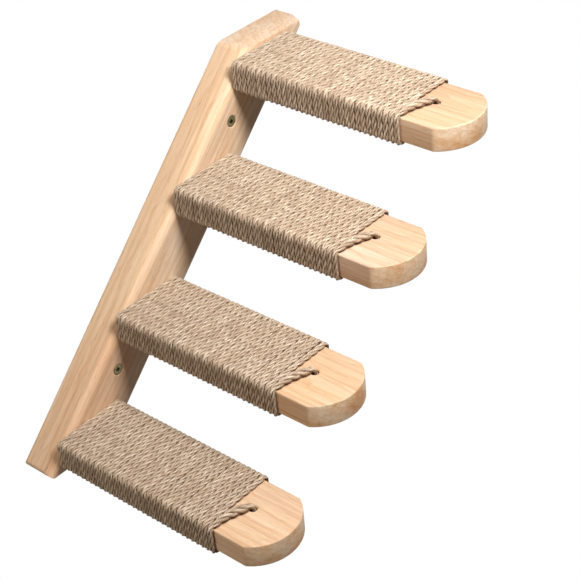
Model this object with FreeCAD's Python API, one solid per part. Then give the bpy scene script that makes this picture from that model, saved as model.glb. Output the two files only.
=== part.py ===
"""Cat wall step: a slanted backboard carrying four level treads wound with jute rope.

Lengths are in millimetres. X runs to the right along the wall, Y into the wall and Z up.
The origin lies on the board's back face, midway between its two wall screws. The treads and
the wall screws all lie on one slanted line through it, which leans to the right going up.
"""
import FreeCAD, Part
import math
import os

V = FreeCAD.Vector

# Treads: level boards that butt against the front of the backboard
tread_names = ("top", "upper", "lower", "bottom")
tread_rise = 95.6
tread_width = 79.5
tread_thickness = 25.0
tread_reach = 269.0
tip_crown = 23.4
tread_edge = 1.5

# Backboard: one moulded batten, cut level at both ends
board_lean = 46.1
board_width = 70.0
board_thickness = 38.0
board_above_tread = 6.3
board_below_tread = 11.2
board_moulding = 9.0
board_back_edge = 1.2
blunt_corner = 18.0
sharp_corner = 5.0

# Rope: one length per tread, wound side by side from the board outwards and pulled flat
rope_width = 6.4
rope_thickness = 4.4
rope_seat = 0.3
turn_gap = 2.7
bare_tip = 58.5
tail_hole_beyond = 9.0
tail_hole_aside = 3.5
tail_hole_gap = 0.8
tail_hole_rim = 1.0
tail_depth = 12.0
start_length = 16.0
# Steps along the rope between the points where its gap is measured, as a share of its width
measure_step_share = 0.25
# Width of the flats that face the wood and the open, as a share of the rope's width
rope_flat_share = 0.5

# Screws: countersunk wood screws. Two go through the board's front into the wall, with a plain
# shank inside the board. Two fully threaded ones per tread come through the board from behind.
wall_screw_thread = 6.0
wall_screw_shank = 4.3
wall_screw_head = 12.5
wall_screw_grip = 17.6
wall_screw_sunk = 0.6
tread_screw_thread = 5.0
tread_screw_head = 10.0
tread_screw_grip = 42.5
tread_screw_sunk = 0.5
tread_screw_inset = 19.75
screw_seat_gap = 0.15
screw_hole_gap = 0.15
pilot_spare = 1.0
# A screw's tapered point: its length and its blunt end, as shares of the thread's diameter
point_length_share = 1.2
point_end_share = 0.2
hidden_screw_sides = 12

# How far a cutting shape runs past the face that it opens
overrun = 2.0

lean = math.radians(board_lean)
run_per_rise = math.tan(lean)
board_level_width = board_width / math.cos(lean)
board_front = -board_thickness
tread_count = len(tread_names)
tread_heights = [((tread_count - 1) / 2 - k) * tread_rise for k in range(tread_count)]
board_top = tread_heights[0] + tread_thickness / 2 + board_above_tread
board_bottom = tread_heights[-1] - tread_thickness / 2 - board_below_tread
winding_length = tread_reach - bare_tip
wall_screw_height = (tread_count / 2 - 1) * tread_rise
to_wall = FreeCAD.Rotation(V(0, 0, 1), V(0, 1, 0))
from_wall = FreeCAD.Rotation(V(0, 0, 1), V(0, -1, 0))


def on_centre_line(height, depth=0.0):
    """The point at this height above the slanted line that treads and wall screws share."""
    return V(height * run_per_rise, depth, height)


def edges_along(shape, direction, accept):
    """The straight edges that run along a direction and whose middle passes the test."""
    found = []
    for edge in shape.Edges:
        if isinstance(edge.Curve, Part.Line):
            if abs(edge.Curve.Direction.dot(direction)) > math.cos(math.radians(1)):
                if accept(edge.CenterOfMass):
                    found.append(edge)
    return found


def moulded_batten():
    """The long batten before it is cut: rounded front edges, back edges just broken."""
    spare = board_level_width + overrun
    length = (board_top - board_bottom) / math.cos(lean) + spare * 2
    left = tread_width / 2 * math.cos(lean)
    batten = Part.makeBox(board_width, board_thickness, length, V(-left, board_front, -length / 2))
    front = edges_along(batten, V(0, 0, 1), lambda middle: middle.y < board_front / 2)
    batten = batten.makeFillet(board_moulding, front)
    back = edges_along(batten, V(0, 0, 1), lambda middle: middle.y > -board_back_edge)
    batten = batten.makeFillet(board_back_edge, back)
    batten.rotate(V(0, 0, 0), V(0, 1, 0), board_lean)
    return batten


def near(places):
    """A test for edges whose middle lies beside one of these places, seen square to the wall."""
    def beside(middle):
        return any(math.hypot(middle.x - p.x, middle.z - p.z) < overrun for p in places)
    return beside


def level_cut_outline():
    """What the level end cuts leave, its two blunt corners sanded bolder than its two sharp ones."""
    left = V(-tread_width / 2, 0, 0)
    right = V(board_level_width - tread_width / 2, 0, 0)
    upper = on_centre_line(board_top, board_front)
    lower = on_centre_line(board_bottom, board_front)
    corners = [upper + left, upper + right, lower + right, lower + left]
    slab = Part.Face(Part.makePolygon(corners + corners[:1])).extrude(V(0, board_thickness, 0))
    across = V(0, 1, 0)
    slab = slab.makeFillet(blunt_corner, edges_along(slab, across, near([upper + left, lower + right])))
    return slab.makeFillet(sharp_corner, edges_along(slab, across, near([upper + right, lower + left])))


def turned(profile):
    """The solid that a closed profile in the XZ plane makes when it is turned about Z."""
    return Part.Face(Part.makePolygon(profile + profile[:1])).revolve(V(0, 0, 0), V(0, 0, 1), 360)


def screw_solid(thread, shank, head, sunk, to_thread, grip):
    """A countersunk screw along +Z, its head sunk below Z=0 and its point at to_thread + grip."""
    point = to_thread + grip - thread * point_length_share
    return turned([
        V(0, 0, sunk),
        V(head / 2, 0, sunk),
        V(shank / 2, 0, sunk + (head - shank) / 2),
        V(shank / 2, 0, to_thread),
        V(thread / 2, 0, to_thread),
        V(thread / 2, 0, point),
        V(thread * point_end_share / 2, 0, to_thread + grip),
        V(0, 0, to_thread + grip),
    ])


def faceted(stations):
    """A many-sided solid about Z, its corners on circles of the given (diameter, height)."""
    rings = []
    for diameter, height in stations:
        ring = []
        for corner in range(hidden_screw_sides + 1):
            angle = math.tau * (corner % hidden_screw_sides) / hidden_screw_sides
            ring.append(V(math.cos(angle) * diameter / 2, math.sin(angle) * diameter / 2, height))
        rings.append(ring)
    faces = [Part.Face(Part.makePolygon(rings[0])), Part.Face(Part.makePolygon(rings[-1]))]
    for low, high in zip(rings, rings[1:]):
        for k in range(hidden_screw_sides):
            faces.append(Part.Face(Part.makePolygon([low[k], low[k + 1], high[k + 1], high[k], low[k]])))
    return Part.makeSolid(Part.makeShell(faces))


def screw_hole(thread, head, sunk, depth):
    """A countersink with its mouth at Z=0 and a round hole that follows it to the given depth."""
    mouth = head / 2 + sunk + screw_seat_gap
    bore = thread / 2 + screw_hole_gap
    return turned([
        V(0, 0, -overrun),
        V(mouth + overrun, 0, -overrun),
        V(bore, 0, mouth - bore),
        V(bore, 0, depth),
        V(0, 0, depth),
    ])


def tread_screw_place(height, side):
    """Where a tread screw enters the board's back: in from the tread's side, at mid-height."""
    aside = side * (tread_width / 2 - tread_screw_inset)
    return FreeCAD.Placement(on_centre_line(height) + V(aside, 0, 0), from_wall)


def wall_screw_place(height):
    """Where a wall screw enters the board's front, on the centre line between two treads."""
    return FreeCAD.Placement(on_centre_line(height, board_front), to_wall)


def tread_screw():
    """A fully threaded countersunk screw. It is hidden in the wood, so flat facets stand for round."""
    tip = board_thickness + tread_screw_grip
    point = tip - tread_screw_thread * point_length_share
    neck = tread_screw_sunk + (tread_screw_head - tread_screw_thread) / 2
    return faceted([
        (tread_screw_head, tread_screw_sunk),
        (tread_screw_thread, neck),
        (tread_screw_thread, point),
        (tread_screw_thread * point_end_share, tip),
    ])


def tread_screw_hole():
    """Clearance hole through the board and, in line with it, the pilot hole in the tread."""
    depth = board_thickness + tread_screw_grip + pilot_spare
    return screw_hole(tread_screw_thread, tread_screw_head, tread_screw_sunk, depth)


def wall_screw():
    return screw_solid(wall_screw_thread, wall_screw_shank, wall_screw_head, wall_screw_sunk,
                       board_thickness, wall_screw_grip)


def wall_screw_hole():
    depth = board_thickness + overrun
    return screw_hole(wall_screw_thread, wall_screw_head, wall_screw_sunk, depth)


def placed(shape, place):
    moved = shape.copy()
    moved.Placement = place
    return moved


def backboard():
    """The batten within its outline, bored for the wall screws and the tread screws."""
    board = moulded_batten().common(level_cut_outline())
    cutters = []
    for height in (wall_screw_height, -wall_screw_height):
        cutters.append(placed(wall_screw_hole(), wall_screw_place(height)))
    for height in tread_heights:
        for side in (-1, 1):
            cutters.append(placed(tread_screw_hole(), tread_screw_place(height, side)))
    return board.cut(Part.makeCompound(cutters))


def rope_turns():
    """Turns that fit along the winding with the named gap between them."""
    span = winding_length - rope_width - rope_seat
    return int(span / (rope_width + turn_gap)) + 1


def tail_hole_place():
    """Centre of the hole that takes the rope's tail, on the tread's mid-height plane."""
    return V(tail_hole_aside, board_front - winding_length - tail_hole_beyond, 0)


def tail_hole_cutter():
    """A round hole right through the tread with both rims broken."""
    radius = rope_width / 2 + tail_hole_gap
    half = tread_thickness / 2
    rim = radius + tail_hole_rim
    profile = [
        V(0, 0, -half - overrun),
        V(rim + overrun, 0, -half - overrun),
        V(radius, 0, tail_hole_rim - half),
        V(radius, 0, half - tail_hole_rim),
        V(rim + overrun, 0, half + overrun),
        V(0, 0, half + overrun),
    ]
    return placed(turned(profile), FreeCAD.Placement(tail_hole_place(), FreeCAD.Rotation()))


def tread():
    """One tread at the origin's height: straight sides, an arc across the tip, broken edges."""
    half_width = tread_width / 2
    half_thick = tread_thickness / 2
    tip = board_front - tread_reach
    shoulder = tip + tip_crown
    near_root = V(-half_width, board_front, -half_thick)
    near_shoulder = V(-half_width, shoulder, -half_thick)
    far_shoulder = V(half_width, shoulder, -half_thick)
    far_root = V(half_width, board_front, -half_thick)
    outline = [
        Part.makeLine(near_root, near_shoulder),
        Part.Arc(near_shoulder, V(0, tip, -half_thick), far_shoulder).toShape(),
        Part.makeLine(far_shoulder, far_root),
        Part.makeLine(far_root, near_root),
    ]
    blank = Part.Face(Part.Wire(outline)).extrude(V(0, 0, tread_thickness))
    broken = [edge for edge in blank.Edges if min(v.Point.y for v in edge.Vertexes) < board_front]
    shaped = blank.makeChamfer(tread_edge, broken)
    for side in (-1, 1):
        shaped = shaped.cut(placed(tread_screw_hole(), tread_screw_place(0, side)))
    return shaped.cut(tail_hole_cutter())


def rope_centre_line():
    """Corners of the rope's centre line round a tread that lies at the origin's height.

    Each turn goes up the near side, over the top and down the far side square to the tread,
    and steps outwards underneath. A flat facet carries it round each edge of the wood. The
    last turn slants across the top instead and drops into the tail hole.
    """
    half = rope_thickness / 2
    side = tread_width / 2 + rope_seat + half
    top = tread_thickness / 2 + rope_seat + half
    facet = tread_edge + (rope_seat + half) * (2 - math.sqrt(2))
    flat_x = side - facet
    flat_z = top - facet
    turns = rope_turns()
    first = board_front - rope_seat - rope_width / 2
    pitch = (winding_length - rope_width - rope_seat) / (turns - 1)
    points = [V(start_length - side, first, -top)]
    for turn in range(turns):
        y = first - turn * pitch
        points += [V(-flat_x, y, -top), V(-side, y, -flat_z), V(-side, y, flat_z), V(-flat_x, y, top)]
        if turn < turns - 1:
            points += [V(flat_x, y, top), V(side, y, flat_z), V(side, y, -flat_z), V(flat_x, y, -top)]
    hole = tail_hole_place()
    above = V(hole.x, hole.y, top)
    towards = (above - points[-1]).normalize()
    points += [above - towards * half, V(hole.x, hole.y, top - half)]
    points.append(V(hole.x, hole.y, tread_thickness / 2 - tail_depth))
    return points


def mitre(before, after):
    """Which way the rope's thickness points where two stretches meet, and how far it reaches."""
    before = V(before.x, 0, before.z).normalize()
    after = V(after.x, 0, after.z).normalize()
    outward = (V(0, 1, 0).cross(before) + V(0, 1, 0).cross(after)).normalize()
    return outward * (1 / outward.dot(V(0, 1, 0).cross(after)))


def rope():
    """One unbroken six-sided solid along the rope's centre line, mitred at every corner.

    Its flats lie against the wood, and its edges point along the tread at the turns beside it.
    """
    points = rope_centre_line()
    flat = rope_width * rope_flat_share / 2
    half = rope_thickness / 2
    section = [(rope_width / 2, 0), (flat, half), (-flat, half),
               (-rope_width / 2, 0), (-flat, -half), (flat, -half)]
    runs = [end - start for start, end in zip(points, points[1:])]
    rings = []
    for point, before, after in zip(points, runs[:1] + runs, runs + runs[-1:]):
        outward = mitre(before, after)
        rings.append([point + V(0, y, 0) + outward * z for y, z in section])
    faces = [Part.Face(Part.makePolygon(ring + ring[:1])) for ring in (rings[0], rings[-1])]
    for low, high, run in zip(rings, rings[1:], runs):
        for k in range(len(section)):
            quad = [low[k - 1], low[k], high[k], high[k - 1]]
            # A stretch that also moves along the tread has slightly warped sides, so each is split
            pieces = [quad] if run.y == 0 else [quad[:3], quad[2:] + quad[:1]]
            for corners in pieces:
                faces.append(Part.Face(Part.makePolygon(corners + corners[:1])))
    return Part.makeSolid(Part.makeShell(faces))


def least_rope_gap():
    """Least clear distance between stretches of one rope that aren't next to each other."""
    points = rope_centre_line()
    step = rope_width * measure_step_share
    samples = []
    travelled = 0.0
    for start, end in zip(points, points[1:]):
        length = (end - start).Length
        pieces = max(1, round(length / step))
        for piece in range(pieces):
            place = start + (end - start) * (piece / pieces)
            samples.append((travelled + length * piece / pieces, place.x, place.y, place.z))
        travelled += length
    least = travelled
    near = rope_width * math.pi
    reach = rope_width * 2
    for index, (at, x, y, z) in enumerate(samples):
        for other_at, other_x, other_y, other_z in samples[index + 1:]:
            if other_at - at > near and abs(other_y - y) < reach:
                apart = math.dist((x, y, z), (other_x, other_y, other_z))
                least = min(least, apart)
    return least - rope_width


def save(shape, node):
    shape.exportStep(os.path.join("parts", node + ".step"))


os.makedirs("parts", exist_ok=True)
save(backboard(), "backboard")

tread_blank = tread()
rope_blank = rope()
screw_blank = tread_screw()
for name, height in zip(tread_names, tread_heights):
    place = FreeCAD.Placement(on_centre_line(height), FreeCAD.Rotation())
    save(placed(tread_blank, place), "tread_" + name)
    save(placed(rope_blank, place), "rope_" + name)
    for side_name, side in (("left", -1), ("right", 1)):
        save(placed(screw_blank, tread_screw_place(height, side)), f"tread_screw_{name}_{side_name}")

for name, height in (("upper", wall_screw_height), ("lower", -wall_screw_height)):
    save(placed(wall_screw(), wall_screw_place(height)), "wall_screw_" + name)

print("turns of rope on each tread:", rope_turns())
print("least gap of a rope to itself, mm:", round(least_rope_gap(), 3))
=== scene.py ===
import bmesh
import bpy
import math
import random
from mathutils import Matrix, Vector, noise


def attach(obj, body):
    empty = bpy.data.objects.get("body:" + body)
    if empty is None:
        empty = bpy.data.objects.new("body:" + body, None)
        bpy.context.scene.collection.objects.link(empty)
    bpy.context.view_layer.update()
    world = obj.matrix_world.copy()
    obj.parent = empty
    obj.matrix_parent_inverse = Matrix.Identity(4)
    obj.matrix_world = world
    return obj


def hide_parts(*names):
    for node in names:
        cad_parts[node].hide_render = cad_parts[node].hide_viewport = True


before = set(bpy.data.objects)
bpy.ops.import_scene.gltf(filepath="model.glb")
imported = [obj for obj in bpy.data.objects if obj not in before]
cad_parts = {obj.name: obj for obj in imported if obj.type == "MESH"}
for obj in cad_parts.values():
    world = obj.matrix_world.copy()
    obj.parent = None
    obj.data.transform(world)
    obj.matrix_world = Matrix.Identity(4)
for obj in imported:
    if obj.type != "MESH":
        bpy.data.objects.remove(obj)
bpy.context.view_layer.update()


# The backboard is one rubberwood batten, 38 mm thick. Its two front edges are moulded to a long
# curve, it is cut level at both ends, and its corners are sanded, the two blunt ones boldly. The
# wall screws' holes come in from the front, and the tread screws' from behind.

board_lean = math.radians(46.1)
board_width = 0.070
board_thickness = 0.038
board_front = -board_thickness
board_top = 0.1622
board_bottom = -0.1671
batten_spare = 4 * board_width
moulding_radius = 0.009
moulding_stretch = 1.8
moulding_steps = 10
back_edge_radius = 0.0012
blunt_corner_radius = 0.018
sharp_corner_radius = 0.005
corner_cuts = 9
tip_sanding_start = 0.017
tip_sanding_slant = (0.90, -0.40, 0.20)
cut_edge_ease = 0.0009
cut_edge_angle = math.radians(40)
small_round_steps = 3
tread_rise = 0.0956
tread_width = 0.0795
board_left = tread_width / 2 * math.cos(board_lean)
wall_screw_heights = (tread_rise, -tread_rise)
tread_names = ("top", "upper", "lower", "bottom")
steps_above_middle = (len(tread_names) - 1) / 2
tread_heights = {name: (steps_above_middle - step) * tread_rise
                 for step, name in enumerate(tread_names)}
tread_screw_aside = 0.020
wall_sink_mouth = 0.0070
wall_hole_radius = 0.00315
tread_sink_mouth = 0.00565
tread_hole_radius = 0.00265
drill_overrun = 0.002
lathe_steps = 32
weld_distance = 1e-6
cut_weld_distance = 1e-5
crease_angle = math.radians(35)

across = Vector((math.cos(board_lean), 0, -math.sin(board_lean)))


def on_centre_line(height, depth=0.0):
    return Vector((height * math.tan(board_lean), depth, height))


def as_piece(name, mesh, slot_name, *nodes):
    """Put a finished mesh in the scene as a piece of the object that stands for its CAD nodes."""
    piece = bpy.data.objects.new(name, mesh)
    bpy.context.scene.collection.objects.link(piece)
    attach(piece, "root")
    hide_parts(*nodes)
    return piece


def mesh_from(name, shape, crease=crease_angle):
    """Turn a bmesh into a mesh that is smooth wherever its faces meet at less than the crease."""
    bmesh.ops.recalc_face_normals(shape, faces=shape.faces)
    mesh = bpy.data.meshes.new(name)
    shape.to_mesh(mesh)
    shape.free()
    mesh.polygons.foreach_set("use_smooth", [True] * len(mesh.polygons))
    mesh.set_sharp_from_angle(angle=crease)
    return mesh


def turned(profile, place, steps=lathe_steps):
    """A bmesh of a lathe-turned body: (radius, height) points about Z, then put in its place."""
    body = bmesh.new()
    corners = [body.verts.new((radius, 0, height)) for radius, height in profile]
    edges = [body.edges.new(pair) for pair in zip(corners, corners[1:])]
    bmesh.ops.spin(body, geom=corners + edges, cent=(0, 0, 0), axis=(0, 0, 1),
                   angle=math.tau, steps=steps, use_merge=True)
    bmesh.ops.remove_doubles(body, verts=body.verts, dist=weld_distance)
    bmesh.ops.recalc_face_normals(body, faces=body.faces)
    bmesh.ops.transform(body, matrix=place, verts=body.verts)
    return body


def round_off(shape, geometry, radius, steps, affect="EDGES"):
    """Round a body's edges, or the corners of a flat outline."""
    bmesh.ops.bevel(shape, geom=geometry, offset=radius, affect=affect, segments=steps,
                    profile=0.5, material=-1, clamp_overlap=affect == "EDGES")


def cut_away(mesh, cutters):
    """Bore a mesh with other bodies and give back what is left."""
    blank = bpy.data.objects.new("blank", mesh)
    bpy.context.scene.collection.objects.link(blank)
    tools = []
    for number, cutter in enumerate(cutters):
        tool_mesh = bpy.data.meshes.new("tool")
        cutter.to_mesh(tool_mesh)
        cutter.free()
        tool = bpy.data.objects.new("tool", tool_mesh)
        bpy.context.scene.collection.objects.link(tool)
        bore = blank.modifiers.new(f"bore {number}", "BOOLEAN")
        bore.object = tool
        bore.solver = "EXACT"
        tools.append(tool)
    bpy.context.view_layer.update()
    result = blank.evaluated_get(bpy.context.evaluated_depsgraph_get())
    bored = bpy.data.meshes.new_from_object(result)
    for spent in tools + [blank]:
        bpy.data.objects.remove(spent)
    return bored


# Screw axes: the wall screws run into the wall, the tread screws out of the board's back
into_wall = Matrix.Rotation(-math.pi / 2, 4, "X")
out_of_wall = Matrix.Rotation(math.pi / 2, 4, "X")


def wall_screw_place(height):
    return Matrix.Translation(on_centre_line(height, board_front)) @ into_wall


def tread_screw_place(height, side):
    entry = on_centre_line(height) + Vector((side * tread_screw_aside, 0, 0))
    return Matrix.Translation(entry) @ out_of_wall


def screw_hole(place, mouth, radius, depth):
    """The countersink and the hole that follows it, as one turned cutter."""
    profile = [(0, -drill_overrun), (mouth + drill_overrun, -drill_overrun),
               (radius, mouth - radius), (radius, depth), (0, depth)]
    return turned(profile, place)


def backboard_mesh():
    """The batten's section, drawn out along its lean, cut to its outline and bored."""
    board = bmesh.new()
    # The section starts as a unit square across the batten, with Y into the wall
    bmesh.ops.create_grid(board, x_segments=1, y_segments=1, size=0.5)
    squeezed = (board_width, board_thickness / moulding_stretch, 1)
    bmesh.ops.scale(board, vec=squeezed, verts=board.verts)
    front = [corner for corner in board.verts if corner.co.y < 0]
    back = [corner for corner in board.verts if corner.co.y > 0]
    round_off(board, front, moulding_radius, moulding_steps, "VERTICES")
    round_off(board, back, back_edge_radius, small_round_steps, "VERTICES")
    # The moulding reaches further back than it reaches in from the side
    bmesh.ops.scale(board, vec=(1, moulding_stretch, 1), verts=board.verts)
    seat = (board_width / 2 - board_left, board_front / 2, 0)
    bmesh.ops.translate(board, vec=seat, verts=board.verts)
    length = (board_top - board_bottom) / math.cos(board_lean) + batten_spare
    bmesh.ops.translate(board, vec=(0, 0, -length / 2), verts=board.verts)
    section = bmesh.ops.extrude_face_region(board, geom=list(board.faces))
    moved = [item for item in section["geom"] if isinstance(item, bmesh.types.BMVert)]
    bmesh.ops.translate(board, vec=(0, 0, length), verts=moved)
    leaning = Matrix.Rotation(board_lean, 3, "Y")
    bmesh.ops.rotate(board, cent=(0, 0, 0), matrix=leaning, verts=board.verts)

    def saw(point, outward):
        """Cut off what lies outward of a point and close the cut."""
        everything = board.verts[:] + board.edges[:] + board.faces[:]
        cut = bmesh.ops.bisect_plane(board, geom=everything, plane_co=point, plane_no=outward,
                                     clear_outer=True)
        rim = [item for item in cut["geom_cut"] if isinstance(item, bmesh.types.BMEdge)]
        if rim:
            bmesh.ops.contextual_create(board, geom=rim)

    saw((0, 0, board_top), (0, 0, 1))
    saw((0, 0, board_bottom), (0, 0, -1))
    board_right = board_width - board_left
    level_left = board_left / math.cos(board_lean)
    level_right = board_right / math.cos(board_lean)
    for height, end in ((board_top, 1), (board_bottom, -1)):
        for level, side in ((-level_left, -1), (level_right, 1)):
            radius = blunt_corner_radius if side * end < 0 else sharp_corner_radius
            corner = on_centre_line(height) + Vector((level, 0, 0))
            end_out = Vector((0, 0, end))
            side_out = across * side
            turn = end_out.angle(side_out)
            middle = (end_out + side_out).normalized()
            centre = corner - middle * radius / math.cos(turn / 2)
            axis = end_out.cross(side_out).normalized()
            for cut in range(1, corner_cuts):
                outward = Matrix.Rotation(turn * cut / corner_cuts, 3, axis) @ end_out
                saw(centre + outward * radius, outward)
    # The sharp tip at the top is sanded away towards the front as well
    tip = max((corner.co for corner in board.verts), key=lambda place: place.x)
    saw((tip.x, -tip_sanding_start, tip.z), tip_sanding_slant)
    bmesh.ops.remove_doubles(board, verts=board.verts, dist=cut_weld_distance)
    ends = [edge for edge in board.edges
            if len(edge.link_faces) == 2 and edge.calc_face_angle(0) > cut_edge_angle]
    round_off(board, ends, cut_edge_ease, small_round_steps)
    bmesh.ops.triangulate(board, faces=[face for face in board.faces if len(face.verts) > 4])
    blank = mesh_from("backboard_blank", board)
    depth = board_thickness + drill_overrun
    drills = []
    for height in wall_screw_heights:
        place = wall_screw_place(height)
        drills.append(screw_hole(place, wall_sink_mouth, wall_hole_radius, depth))
    for height in tread_heights.values():
        for side in (-1, 1):
            place = tread_screw_place(height, side)
            drills.append(screw_hole(place, tread_sink_mouth, tread_hole_radius, depth))
    bored = cut_away(blank, drills)
    bored.set_sharp_from_angle(angle=crease_angle)
    return bored


def paint(red, green, blue):
    """A colour written as 0 to 255, as a shader reads it."""
    linear = []
    for level in (red, green, blue):
        share = level / 255
        linear.append(share / 12.92 if share <= 0.04045 else ((share + 0.055) / 1.055) ** 2.4)
    return (*linear, 1.0)


# Where a Mix node that mixes colours keeps its sockets
mix_factor, mix_first, mix_second, mix_result = 0, 6, 7, 2


class Recipe:
    """Lays out a material's nodes and links them."""

    def __init__(self, name):
        self.material = bpy.data.materials.new(name)
        self.material.use_nodes = True
        self.nodes = self.material.node_tree.nodes
        self.links = self.material.node_tree.links
        self.shader = self.nodes["Principled BSDF"]

    def node(self, kind, settings=None, **sockets):
        made = self.nodes.new("ShaderNode" + kind)
        for key, value in (settings or {}).items():
            setattr(made, key, value)
        for key, value in sockets.items():
            self.feed(made.inputs[key.replace("_", " ")], value)
        return made

    def feed(self, socket, value):
        if isinstance(value, bpy.types.NodeSocket):
            self.links.new(value, socket)
        else:
            socket.default_value = value

    def ramp(self, source, *stops):
        """A colour ramp of (place, colour) stops."""
        made = self.nodes.new("ShaderNodeValToRGB")
        while len(made.color_ramp.elements) < len(stops):
            made.color_ramp.elements.new(1.0)
        for element, (place, colour) in zip(made.color_ramp.elements, stops):
            element.position = place
            element.color = colour if len(colour) == 4 else (*colour, 1.0)
        self.links.new(source, made.inputs["Fac"])
        return made.outputs["Color"]

    def mix(self, first, second, factor, blend="MIX"):
        made = self.nodes.new("ShaderNodeMix")
        made.data_type = "RGBA"
        made.blend_type = blend
        self.feed(made.inputs[mix_first], first)
        self.feed(made.inputs[mix_second], second)
        self.feed(made.inputs[mix_factor], factor)
        return made.outputs[mix_result]

    def calculate(self, operation, first, second=0.0):
        made = self.nodes.new("ShaderNodeMath")
        made.operation = operation
        self.feed(made.inputs[0], first)
        self.feed(made.inputs[1], second)
        return made.outputs[0]

    def noise(self, place, scale=1.0, detail=2.0, roughness=0.5, distortion=0.0):
        made = self.node("TexNoise", Vector=place, Scale=scale, Detail=detail, Roughness=roughness,
                         Distortion=distortion)
        return made.outputs["Fac"]

    def bump(self, height, strength, distance, normal=None):
        made = self.node("Bump", Height=height, Strength=strength, Distance=distance)
        if normal is not None:
            self.links.new(normal, made.inputs["Normal"])
        return made.outputs["Normal"]


def grey(level):
    return (level, level, level, 1.0)


# How often each feature of the wood repeats per metre, along and across the grain
ring_pattern = (0.35, 1.0)
rings_per_metre = 46.0
broad_pattern = (3.0, 34.0)
streak_pattern = (7.0, 260.0)
fine_pattern = (26.0, 1500.0)
pore_pattern = (95.0, 1900.0)
patch_pattern = (4.0, 14.0)
cut_end_pattern = (2.0, 48.0)
# How strongly each of the darker features colours the wood
ring_strength = 0.8
streak_strength = 0.7
fine_strength = 0.5
pore_strength = 0.55
wood_gloss = 0.2
# How deep the fine grain and the pores are, and how much of that shows
fine_relief = {"strength": 0.10, "distance": 0.0003}
pore_relief = {"strength": 0.18, "distance": 0.0002}
# How a seed moves the patterns along and across the grain
seed_shares = (1.0, 0.7, 1.3)


def rubberwood(name, turn, shift, pale, warm, red, ends, seed):
    """Sanded rubberwood. The turn lays the grain along X, and the shift picks a place in the log."""
    wood = Recipe(name)
    place = wood.node("TexCoord")
    log = wood.node("Mapping", Vector=place.outputs["Object"], Rotation=turn, Location=shift)
    facing = wood.node("Mapping", {"vector_type": "VECTOR"}, Vector=place.outputs["Normal"],
                       Rotation=turn)
    endwise = wood.node("SeparateXYZ", Vector=facing.outputs["Vector"]).outputs["X"]
    endwise = wood.calculate("ABSOLUTE", endwise)

    def along_grain(pattern):
        along, sideways = pattern
        return wood.node("Mapping", Vector=log.outputs["Vector"], Scale=(along, sideways, sideways),
                         Location=[seed * share for share in seed_shares]).outputs["Vector"]

    rings = wood.node("TexWave", {"wave_type": "RINGS", "rings_direction": "X", "wave_profile": "SAW"},
                      Vector=along_grain(ring_pattern), Scale=rings_per_metre, Distortion=5.5,
                      Detail=2.0, Detail_Scale=1.1, Detail_Roughness=0.5).outputs["Fac"]
    broad = wood.noise(along_grain(broad_pattern), detail=3.0, roughness=0.55, distortion=0.4)
    streaks = wood.noise(along_grain(streak_pattern), detail=3.0, roughness=0.6)
    fine = wood.noise(along_grain(fine_pattern), roughness=0.6)
    pores = wood.noise(along_grain(pore_pattern), detail=1.0)
    patches = wood.noise(along_grain(patch_pattern), distortion=0.6)
    cut_end = wood.noise(along_grain(cut_end_pattern), distortion=0.3)

    colour = wood.ramp(broad, (0.30, pale), (0.52, warm), (0.74, pale))
    colour = wood.mix(colour, red, wood.ramp(patches, (0.48, grey(0.0)), (0.74, grey(0.6))))
    cut_end = wood.ramp(cut_end, (0.36, ends[0]), (0.52, ends[1]), (0.70, ends[2]))
    colour = wood.mix(colour, cut_end, wood.ramp(endwise, (0.35, grey(0.0)), (0.60, grey(0.85))))
    rings = wood.ramp(rings, (0.0, grey(1.0)), (0.75, (0.98, 0.96, 0.94)), (1.0, (0.88, 0.80, 0.73)))
    colour = wood.mix(colour, rings, ring_strength, "MULTIPLY")
    streaks = wood.ramp(streaks, (0.34, (0.84, 0.74, 0.66)), (0.56, grey(1.0)))
    colour = wood.mix(colour, streaks, streak_strength, "MULTIPLY")
    fibres = wood.ramp(fine, (0.30, (0.82, 0.75, 0.68)), (0.55, grey(1.0)))
    colour = wood.mix(colour, fibres, fine_strength, "MULTIPLY")
    pores = wood.ramp(pores, (0.27, grey(0.45)), (0.36, grey(1.0)))
    colour = wood.mix(colour, pores, pore_strength, "MULTIPLY")
    wood.feed(wood.shader.inputs["Base Color"], colour)
    wood.feed(wood.shader.inputs["Roughness"], wood.ramp(fine, (0.2, grey(0.62)), (0.8, grey(0.46))))
    wood.shader.inputs["Specular IOR Level"].default_value = wood_gloss
    relief = wood.bump(pores, **pore_relief, normal=wood.bump(fine, **fine_relief))
    wood.feed(wood.shader.inputs["Normal"], relief)
    return wood.material


board_wood = rubberwood(
    "board rubberwood", turn=(0.0, math.pi / 2 - board_lean, 0.0), shift=(0.0, 0.055, 0.020),
    pale=paint(249, 226, 201), warm=paint(241, 208, 173), red=paint(233, 187, 152), seed=3.1,
    ends=(paint(242, 220, 197), paint(238, 210, 181), paint(232, 190, 152)))
backboard = as_piece("backboard_wood", backboard_mesh(), "board_wood", "backboard")
backboard.data.materials.append(board_wood)


# The four treads are level boards of the same wood, 25 mm thick, with an arc sawn across the tip
# and every edge but the root's sanded. Each butts end-on against the board, and a hole near the
# tip takes the rope's tail.

tread_reach = 0.269
tread_thickness = 0.025
tip_crown = 0.0234
tip_steps = 28
tread_edge = 0.0015
tread_edge_steps = 4
tread_edge_angle = math.radians(25)
tail_hole_aside = 0.0035
tail_hole_out = 0.2195
tail_hole_radius = 0.0040
tail_hole_rim = 0.0010


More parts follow.
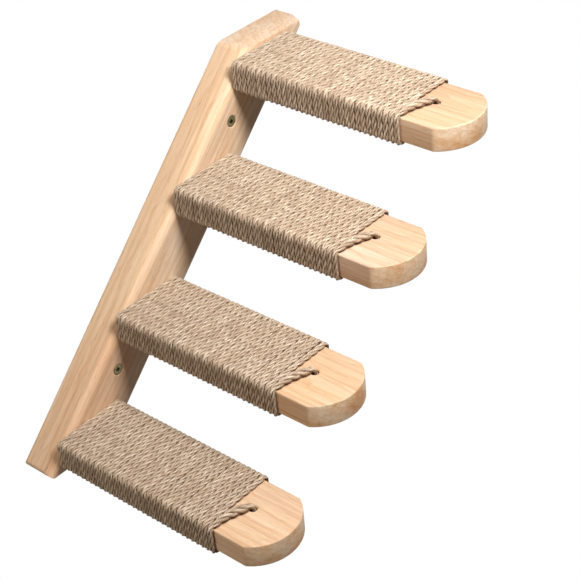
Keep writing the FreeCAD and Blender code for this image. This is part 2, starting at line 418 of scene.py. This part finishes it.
def tread_mesh(name, height):
    """A tread lying level with the given height on the board's centre line."""
    tread = bmesh.new()
    half = tread_width / 2
    half_thick = tread_thickness / 2
    shoulder = board_front - tread_reach + tip_crown
    tip_radius = (half ** 2 + tip_crown ** 2) / (2 * tip_crown)
    tip_angle = 2 * math.asin(half / tip_radius)
    first = tread.verts.new((-half, shoulder, -half_thick))
    arc = bmesh.ops.spin(tread, geom=[first], cent=(0, shoulder - tip_crown + tip_radius, 0),
                         axis=(0, 0, 1), angle=tip_angle, steps=tip_steps, use_merge=False)
    last = arc["geom_last"][0]
    far_root = tread.verts.new((half, board_front, -half_thick))
    near_root = tread.verts.new((-half, board_front, -half_thick))
    for pair in ((last, far_root), (far_root, near_root), (near_root, first)):
        tread.edges.new(pair)
    bmesh.ops.contextual_create(tread, geom=tread.edges[:])
    grown = bmesh.ops.extrude_face_region(tread, geom=tread.faces[:])
    raised = [item for item in grown["geom"] if isinstance(item, bmesh.types.BMVert)]
    bmesh.ops.translate(tread, vec=(0, 0, tread_thickness), verts=raised)
    bmesh.ops.recalc_face_normals(tread, faces=tread.faces)
    broken = [edge for edge in tread.edges
              if min(end.co.y for end in edge.verts) < board_front - tread_edge
              and edge.calc_face_angle(0) > tread_edge_angle]
    round_off(tread, broken, tread_edge, tread_edge_steps)
    bmesh.ops.translate(tread, vec=on_centre_line(height), verts=tread.verts)
    blank = mesh_from(name, tread)
    mouth = tail_hole_radius + tail_hole_rim + drill_overrun
    outside = half_thick + drill_overrun
    inside = half_thick - tail_hole_rim
    profile = [(0, -outside), (mouth, -outside), (tail_hole_radius, -inside),
               (tail_hole_radius, inside), (mouth, outside), (0, outside)]
    centre = on_centre_line(height, board_front - tail_hole_out) + Vector((tail_hole_aside, 0, 0))
    bored = cut_away(blank, [turned(profile, Matrix.Translation(centre))])
    bored.set_sharp_from_angle(angle=crease_angle)
    return bored


# Each log's heart lies beside the step's middle by up to the first of these, and below it by the
# second, give or take the third
heart_beside = 0.02
heart_below = 0.045
heart_spread = 0.01
# Each tread's pale, warm and red wood, and its seed
tread_tints = {
    "top": (paint(226, 197, 172), paint(219, 185, 151), paint(212, 170, 138), 11.0),
    "upper": (paint(232, 204, 180), paint(224, 191, 160), paint(218, 177, 148), 4.6),
    "lower": (paint(236, 205, 175), paint(229, 192, 155), paint(224, 178, 144), 8.3),
    "bottom": (paint(242, 214, 187), paint(233, 199, 164), paint(228, 186, 152), 15.7),
}
tread_ends = (paint(248, 224, 196), paint(242, 206, 168), paint(226, 170, 120))
for name in tread_names:
    pale, warm, red, seed = tread_tints[name]
    heart = (0.0, heart_beside * math.sin(seed), heart_below + heart_spread * math.cos(seed))
    mesh = tread_mesh(f"tread_{name}_wood", tread_heights[name])
    tread = as_piece(f"tread_{name}_wood", mesh, "tread_wood", f"tread_{name}")
    tread.data.materials.append(
        rubberwood(f"{name} tread rubberwood", turn=(0.0, 0.0, math.pi / 2), shift=heart,
                   pale=pale, warm=warm, red=red, ends=tread_ends, seed=seed))


# Each tread is wound with one length of three-strand jute cord, 32 turns laid side by side from
# the board outwards and pulled flat. Its start lies glued underneath at the root. Its tail follows
# the last turn a little way over the top, slants off it and is pushed down its hole.

cord_width = 0.0069
cord_thickness = 0.0044
strand_count = 3
strand_radius = 0.00130
cord_lay = 0.0290
tail_lay = 0.0300
tail_width = 0.0104
tail_thickness = 0.0074
tail_strand_radius = 0.00195
loosening_length = 0.020
mouth_looseness = 0.2
tail_straight = 0.008
tail_pull = 0.021
tail_steps = 14
tail_elbow_share = 0.7
tail_depth = 0.012
last_swing = 0.0005
cord_seat = 0.0003
winding_length = 0.2105
turns = 32
turn_sway = 0.0003
first_sway_seed = 71
start_length = 0.010
cord_step = 0.0022
bend_steps = 5
closing_steps = 2 * bend_steps
# How much a strand's thickness varies, how often per metre, and how far apart its patterns lie
strand_swell = 0.10
swells_per_metre = 90.0
strand_swell_apart = 5.0
cord_swell_apart = 11.0
strand_roundness = 2
# The fibres' twist in radians per metre, and how their pattern runs on along and between strands
fibre_twist = 350.0
fibre_run = 20.0
fibre_strand_apart = 7.0


def cord_line(loose):
    """The cord's centre line, from a tread's middle, its turns a little uneven. With it come the
    numbers of the points where the winding ends and where the tail enters its hole."""
    half = cord_thickness / 2
    side = tread_width / 2 + cord_seat + half
    top = tread_thickness / 2 + cord_seat + half
    bend = tread_edge + cord_seat + half
    first = board_front - cord_seat - cord_width / 2
    pitch = (winding_length - cord_width - cord_seat) / (turns - 1)
    points = [Vector((start_length - side, first, -top))]

    def run_to(goal):
        start = points[-1]
        steps = max(1, round((goal - start).length / cord_step))
        points.extend(start.lerp(goal, step / steps) for step in range(1, steps + 1))

    def corner(x_sign, z_sign, start_angle, y):
        centre = Vector((x_sign * (side - bend), y, z_sign * (top - bend)))
        for step in range(bend_steps + 1):
            angle = start_angle - math.pi / 2 * step / bend_steps
            place = centre + Vector((math.cos(angle), 0, math.sin(angle))) * bend
            if step == 0:
                run_to(place)
            else:
                points.append(place)

    for turn in range(turns):
        sway = loose.uniform(-turn_sway, turn_sway) if 0 < turn < turns - 1 else 0.0
        y = first - turn * pitch + sway
        corner(-1, -1, -math.pi / 2, y)
        corner(-1, 1, math.pi, y)
        if turn < turns - 1:
            swing = last_swing if turn == turns - 2 else 0.0
            corner(1, 1, math.pi / 2, y - swing)
            corner(1, -1, 0.0, y - swing)
    wound = len(points)
    # The looser tail follows the last turn a little, slants to its hole and bends down into it
    rise = Vector((0, 0, (tail_thickness - cord_thickness) / 2))
    aside = Vector((0, (cord_width - tail_width) / 2, 0))
    leave = points[-1] + Vector((tail_straight, 0, 0)) + aside + rise
    pull = points[-1] + Vector((tail_pull, 0, 0)) + aside + rise
    hole = Vector((tail_hole_aside, board_front - tail_hole_out, top)) + rise
    towards = (hole - pull).normalized()
    elbow = tail_thickness * tail_elbow_share
    over = hole - towards * elbow
    run_to(leave)
    for step in range(1, tail_steps + 1):
        share = step / tail_steps
        points.append(leave.lerp(pull, share).lerp(pull.lerp(over, share), share))
    for step in range(1, bend_steps + 1):
        angle = math.pi / 2 * step / bend_steps
        back = towards * elbow * (1 - math.sin(angle))
        points.append(hole - back - Vector((0, 0, elbow * (1 - math.cos(angle)))))
    mouth = len(points) - 1
    run_to(Vector((hole.x, hole.y, tread_thickness / 2 - tail_depth)))
    return points, wound, mouth


def cord_stations(line, wound, mouth):
    """Where the cord runs, which ways are beside it and outward, and how loose it is, 0 to 1."""
    stations = []
    for index, place in enumerate(line):
        ahead = line[min(index + 1, len(line) - 1)]
        behind = line[max(index - 1, 0)]
        along = (ahead - behind).normalized()
        beside = (Vector((0, 1, 0)) - along * along.y).normalized()
        share = 0.0
        if index > wound:
            left = max(0.0, (mouth - index) / closing_steps)
            share = min(1.0, (place - line[wound]).length / loosening_length, mouth_looseness + left)
        stations.append((place, beside, along.cross(beside), share))
    return stations


def loosening(firm, free, share):
    """A measure of the cord between its firm state in the winding and its free one in the tail."""
    return firm + (free - firm) * share


def strand_line(stations, number):
    """One strand's way round the cord's centre line, laid right-handed within the cord's section."""
    laid = []
    angle = math.tau * number / strand_count
    behind = stations[0][0]
    for place, beside, outward, share in stations:
        angle += math.tau * (place - behind).length / loosening(cord_lay, tail_lay, share)
        behind = place
        radius = loosening(strand_radius, tail_strand_radius, share)
        wide = math.cos(angle) * (loosening(cord_width, tail_width, share) / 2 - radius)
        high = math.sin(angle) * (loosening(cord_thickness, tail_thickness, share) / 2 - radius)
        laid.append(place + beside * wide + outward * high)
    return laid


def strand_mesh(name, stations, seed):
    """The cord's strands as round tubes. Attributes keep the fibres' lay and how far out each
    point stands, from -1 at the wood to 1 at the crest, which sets the jute's painted groove shade."""
    curve = bpy.data.curves.new(name, "CURVE")
    curve.dimensions = "3D"
    curve.bevel_depth = strand_radius
    curve.bevel_resolution = strand_roundness
    swelling = tail_strand_radius / strand_radius
    for number in range(strand_count):
        laid = strand_line(stations, number)
        spline = curve.splines.new("POLY")
        spline.points.add(len(laid) - 1)
        spline.points.foreach_set("co", [value for place in laid for value in (*place, 1.0)])
        for point, (place, *_, share) in zip(spline.points, stations):
            pattern = Vector((seed, number * strand_swell_apart, 0))
            uneven = noise.noise(place * swells_per_metre + pattern)
            point.radius = loosening(1.0, swelling, share) * (1 + strand_swell * uneven)
    holder = bpy.data.objects.new(name, curve)
    bpy.context.scene.collection.objects.link(holder)
    bpy.context.view_layer.update()
    mesh = bpy.data.meshes.new_from_object(holder)
    mesh.name = name
    bpy.data.objects.remove(holder)
    bpy.data.curves.remove(curve)
    sides = len(mesh.vertices) // (strand_count * len(stations))
    lay = []
    crests = []
    corners = iter(mesh.vertices)
    for number in range(strand_count):
        travelled = 0.0
        behind = stations[0][0]
        for place, beside, outward, share in stations:
            travelled += (place - behind).length
            behind = place
            along = travelled * fibre_run + number * fibre_strand_apart
            for side in range(sides):
                angle = math.tau * side / sides + travelled * fibre_twist
                lay.extend((math.cos(angle), math.sin(angle), along))
                stands = (next(corners).co - place).dot(outward)
                crests.append(2 * stands / loosening(cord_thickness, tail_thickness, share))
    mesh.attributes.new("fibre_lay", "FLOAT_VECTOR", "POINT").data.foreach_set("vector", lay)
    mesh.attributes.new("crest", "FLOAT", "POINT").data.foreach_set("value", crests)
    tubes = bmesh.new()
    tubes.from_mesh(mesh)
    bmesh.ops.holes_fill(tubes, edges=tubes.edges)
    tubes.to_mesh(mesh)
    tubes.free()
    mesh.polygons.foreach_set("use_smooth", [True] * len(mesh.polygons))
    return mesh


# How fine the jute's hairs and clumps are, and how often its slow drift of colour repeats per metre
hair_scale = 5.5
clump_scale = 1.5
drifts_per_metre = 42.0
# How strongly the drift, the hairs and the painted shade in the grooves tint it, and how deep the
# hairs are
drift_strength = 0.5
hair_strength = 0.5
groove_shade_strength = 0.7
hair_relief = {"strength": 0.3, "distance": 0.0003}


def jute_twine():
    """Twisted jute: matt pale straw, its fibres wound in each strand, with painted shade that
    browns it down in the grooves and towards the wood.
    """
    jute = Recipe("jute twine")
    here = jute.node("TexCoord").outputs["Object"]
    lay = jute.node("Attribute", {"attribute_name": "fibre_lay"}).outputs["Vector"]
    fibres = jute.noise(lay, hair_scale, detail=3.0, roughness=0.65)
    clumps = jute.noise(lay, clump_scale)
    drift = jute.noise(here, drifts_per_metre)
    colour = jute.ramp(clumps, (0.34, paint(170, 148, 127)), (0.50, paint(203, 183, 162)),
                       (0.66, paint(238, 224, 206)))
    drift = jute.ramp(drift, (0.3, paint(240, 228, 218)), (0.7, paint(255, 252, 247)))
    colour = jute.mix(colour, drift, drift_strength, "MULTIPLY")
    hairs = jute.ramp(fibres, (0.32, grey(0.66)), (0.52, grey(1.0)))
    colour = jute.mix(colour, hairs, hair_strength, "MULTIPLY")
    # Painted shade: the lower a point stands below the crest, in the grooves between strands and turns
    # and towards the wood, the browner it is painted
    crest = jute.node("Attribute", {"attribute_name": "crest"}).outputs["Fac"]
    painted_groove_shade = jute.ramp(crest, (0.0, paint(132, 104, 80)), (0.25, paint(210, 194, 176)),
                        (0.65, paint(255, 255, 255)))
    colour = jute.mix(colour, painted_groove_shade, groove_shade_strength, "MULTIPLY")
    jute.feed(jute.shader.inputs["Base Color"], colour)
    jute.shader.inputs["Roughness"].default_value = 0.82
    jute.shader.inputs["Specular IOR Level"].default_value = 0.08
    jute.shader.inputs["Sheen Weight"].default_value = 0.1
    jute.shader.inputs["Sheen Roughness"].default_value = 0.5
    jute.feed(jute.shader.inputs["Normal"], jute.bump(fibres, **hair_relief))
    return jute.material


jute = jute_twine()
for order, name in enumerate(tread_names):
    stations = cord_stations(*cord_line(random.Random(first_sway_seed + order)))
    twist = strand_mesh(f"rope_{name}_cord", stations, order * cord_swell_apart)
    twist.transform(Matrix.Translation(on_centre_line(tread_heights[name])))
    rope = as_piece(f"rope_{name}_cord", twist, "jute", f"rope_{name}")
    rope.data.materials.append(jute)


# The screws are countersunk cross-head wood screws of dark yellow-passivated steel. Two hold the
# board to the wall through its front, and two come from behind into each tread's end grain.

wall_screw = {"thread": 0.0060, "shank": 0.0043, "head": 0.0125, "grip": 0.0176, "sunk": 0.0006}
tread_screw = {"thread": 0.0050, "shank": 0.0050, "head": 0.0100, "grip": 0.0425, "sunk": 0.0005}
thread_core_share = 0.66
thread_pitch_share = 0.5
point_length_share = 1.2
neck_share = 0.86
rim_share = 0.96
rim_depth = 0.0002
tip_share = 0.12
runout = 0.001
recess_reach_share = 0.58
recess_width_share = 0.17
recess_depth_share = 0.26
recess_taper = 0.45
ridge_root_share = 0.97
ridge_foot_share = 0.2
ridge_steps = 20
screw_steps = 36
blank_crease = math.radians(50)
screw_crease = math.radians(40)


def screw_mesh(name, sizes, place):
    """Head, shank, tapered core and a helical ridge wound up the core."""
    thread = sizes["thread"] / 2
    shank = sizes["shank"] / 2
    head = sizes["head"] / 2
    sunk = sizes["sunk"]
    core = thread * thread_core_share
    tip = board_thickness + sizes["grip"]
    point = tip - sizes["thread"] * point_length_share
    neck = min(shank, thread * neck_share)
    profile = [(0, sunk), (head * rim_share, sunk), (head, sunk + rim_depth),
               (neck, sunk + head - neck), (neck, board_thickness - runout),
               (core, board_thickness), (core, point), (thread * tip_share, tip), (0, tip)]
    body = turned(profile, Matrix.Identity(4), screw_steps)
    blank = mesh_from(name, body, blank_crease)
    reach = head * 2 * recess_reach_share
    width = head * 2 * recess_width_share
    depth = head * 2 * recess_depth_share
    blades = []
    for long_side, short_side in ((reach, width), (width, reach)):
        blade = bmesh.new()
        bmesh.ops.create_cube(blade, size=1.0)
        bmesh.ops.scale(blade, vec=(long_side, short_side, depth * 2), verts=blade.verts)
        # Each blade narrows along its longer side towards its end inside the head
        for corner in blade.verts:
            if corner.co.z > 0:
                corner.co.x *= recess_taper if long_side > short_side else 1.0
                corner.co.y *= recess_taper if short_side > long_side else 1.0
        bmesh.ops.translate(blade, vec=(0, 0, sunk), verts=blade.verts)
        blades.append(blade)
    headed = cut_away(blank, blades)
    screw = bmesh.new()
    screw.from_mesh(headed)
    bpy.data.meshes.remove(headed)
    pitch = sizes["thread"] * thread_pitch_share
    length = point - board_thickness
    steps = int(length / pitch * ridge_steps)
    root = core * ridge_root_share
    foot = pitch * ridge_foot_share
    ridge = [screw.verts.new((root, 0, board_thickness - foot)),
             screw.verts.new((thread, 0, board_thickness)),
             screw.verts.new((root, 0, board_thickness + foot))]
    edges = [screw.edges.new((ridge[0], ridge[1])), screw.edges.new((ridge[1], ridge[2])),
             screw.edges.new((ridge[2], ridge[0]))]
    face = screw.faces.new(ridge)
    bmesh.ops.spin(screw, geom=ridge + edges + [face], cent=(0, 0, 0), axis=(0, 0, 1),
                   dvec=(0, 0, length / steps), angle=math.tau * steps / ridge_steps, steps=steps,
                   use_merge=False)
    bmesh.ops.transform(screw, matrix=place, verts=screw.verts)
    return mesh_from(name, screw, screw_crease)


# How often the plating's clouds and the turning marks repeat per metre, and the marks' depth
clouds_per_metre = 420.0
turning_marks = (300.0, 4000.0, 300.0)
mark_relief = {"strength": 0.12, "distance": 0.0001}


def passivated_steel():
    """Dark olive-yellow plating, paler in clouds, with fine turning marks."""
    steel = Recipe("yellow passivated steel")
    here = steel.node("TexCoord").outputs["Object"]
    cloud = steel.noise(here, clouds_per_metre, detail=3.0, roughness=0.6)
    marks = steel.node("Mapping", Vector=here, Scale=turning_marks).outputs["Vector"]
    marks = steel.noise(marks, roughness=0.6)
    plating = steel.ramp(cloud, (0.3, paint(92, 82, 58)), (0.7, paint(142, 130, 96)))
    steel.feed(steel.shader.inputs["Base Color"], plating)
    steel.shader.inputs["Metallic"].default_value = 1.0
    steel.feed(steel.shader.inputs["Roughness"],
               steel.ramp(marks, (0.2, grey(0.34)), (0.8, grey(0.52))))
    steel.feed(steel.shader.inputs["Normal"], steel.bump(marks, **mark_relief))
    return steel.material


screw_steel = passivated_steel()
screw_places = []
for name, height in zip(("upper", "lower"), wall_screw_heights):
    screw_places.append((f"wall_screw_{name}", wall_screw, wall_screw_place(height)))
for name in tread_names:
    for side_name, side in (("left", -1), ("right", 1)):
        place = tread_screw_place(tread_heights[name], side)
        screw_places.append((f"tread_screw_{name}_{side_name}", tread_screw, place))
for node, sizes, place in screw_places:
    screw = as_piece(f"{node}_steel", screw_mesh(f"{node}_steel", sizes, place), "screw_steel", node)
    screw.data.materials.append(screw_steel)


# The studio: a white floor in a white world, one soft lamp near above the front, a wide one high
# overhead, a warm one from the left and a faint warm glow all round. The camera looks down from
# the front left, turned a little on its side.

floor_height = -0.75
floor_reach = 6.0
floor_paint = 0.35
floor_roughness = 0.9
white_level = 1.0
glow_colour = (1.0, 0.80, 0.60, 1.0)
glow_level = 0.04


def backdrop_white():
    """Pale paint in the light of the lamps, and plain white where the camera or a gloss sees it."""
    white = Recipe("white backdrop")
    white.shader.inputs["Base Color"].default_value = grey(floor_paint)
    white.shader.inputs["Roughness"].default_value = floor_roughness
    rays = white.node("LightPath").outputs
    seen = white.calculate("MAXIMUM", rays["Is Camera Ray"], rays["Is Glossy Ray"])
    seen = white.calculate("MAXIMUM", seen, rays["Is Transmission Ray"])
    glow = white.node("Emission", Color=grey(1.0), Strength=white_level)
    blend = white.node("MixShader", Fac=seen)
    white.links.new(white.shader.outputs[0], blend.inputs[1])
    white.links.new(glow.outputs[0], blend.inputs[2])
    white.links.new(blend.outputs[0], white.nodes["Material Output"].inputs["Surface"])
    return white.material


floor_shape = bmesh.new()
bmesh.ops.create_grid(floor_shape, x_segments=1, y_segments=1, size=floor_reach)
bmesh.ops.translate(floor_shape, vec=(0, 0, floor_height), verts=floor_shape.verts)
floor = bpy.data.objects.new("floor", mesh_from("floor", floor_shape))
bpy.context.scene.collection.objects.link(floor)
floor.data.materials.append(backdrop_white())

world = bpy.data.worlds.new("studio")
world.use_nodes = True
bpy.context.scene.world = world
sky = world.node_tree
background = sky.nodes["Background"]
background.inputs["Color"].default_value = glow_colour
background.inputs["Strength"].default_value = glow_level
clean = sky.nodes.new("ShaderNodeBackground")
clean.inputs["Color"].default_value = grey(1.0)
clean.inputs["Strength"].default_value = white_level
rays = sky.nodes.new("ShaderNodeLightPath")
seen = sky.nodes.new("ShaderNodeMath")
seen.operation = "MAXIMUM"
choice = sky.nodes.new("ShaderNodeMixShader")
sky.links.new(rays.outputs["Is Camera Ray"], seen.inputs[0])
sky.links.new(rays.outputs["Is Glossy Ray"], seen.inputs[1])
sky.links.new(seen.outputs[0], choice.inputs["Fac"])
sky.links.new(background.outputs[0], choice.inputs[1])
sky.links.new(clean.outputs[0], choice.inputs[2])
sky.links.new(choice.outputs[0], sky.nodes["World Output"].inputs["Surface"])


def soft_light(name, place, target, size, power, colour):
    """A square softbox turned towards a target."""
    data = bpy.data.lights.new(name, "AREA")
    data.shape = "SQUARE"
    data.size = size
    data.energy = power
    data.color = colour
    lamp = bpy.data.objects.new(name, data)
    lamp.location = place
    lamp.rotation_euler = (Vector(target) - Vector(place)).to_track_quat("-Z", "Y").to_euler()
    bpy.context.scene.collection.objects.link(lamp)


treads_middle = (0.0, -0.12, 0.0)
neutral = (1.0, 0.99, 0.97)
soft_light("key above", place=(-0.02, -0.68, 0.88), target=treads_middle, size=0.30, power=11.8,
           colour=neutral)
soft_light("overhead", place=(0.15, -0.45, 1.35), target=treads_middle, size=0.80, power=5.0,
           colour=neutral)
soft_light("left fill", place=(-1.7, 0.0, 0.40), target=(0.0, -0.1, 0.0), size=0.80, power=8.0,
           colour=(1.0, 0.90, 0.76))

camera_place = Vector((-0.8847, -1.0431, 0.8464))
camera_azimuth = math.radians(46.10)
camera_elevation = math.radians(34.43)
camera_roll = math.radians(-5.60)
forward = Vector((math.sin(camera_azimuth) * math.cos(camera_elevation),
                  math.cos(camera_azimuth) * math.cos(camera_elevation), -math.sin(camera_elevation)))
level_right = Vector((math.cos(camera_azimuth), -math.sin(camera_azimuth), 0))
level_up = level_right.cross(forward)
right = level_right * math.cos(camera_roll) + level_up * math.sin(camera_roll)
up = level_up * math.cos(camera_roll) - level_right * math.sin(camera_roll)
camera_data = bpy.data.cameras.new("camera")
camera_data.sensor_width = 36.0
camera_data.lens = 97.05
camera = bpy.data.objects.new("camera", camera_data)
facing = Matrix((right, up, -forward)).transposed().to_4x4()
camera.matrix_world = Matrix.Translation(camera_place) @ facing
bpy.context.scene.collection.objects.link(camera)
bpy.context.scene.camera = camera
bpy.context.scene.view_settings.view_transform = "Standard"
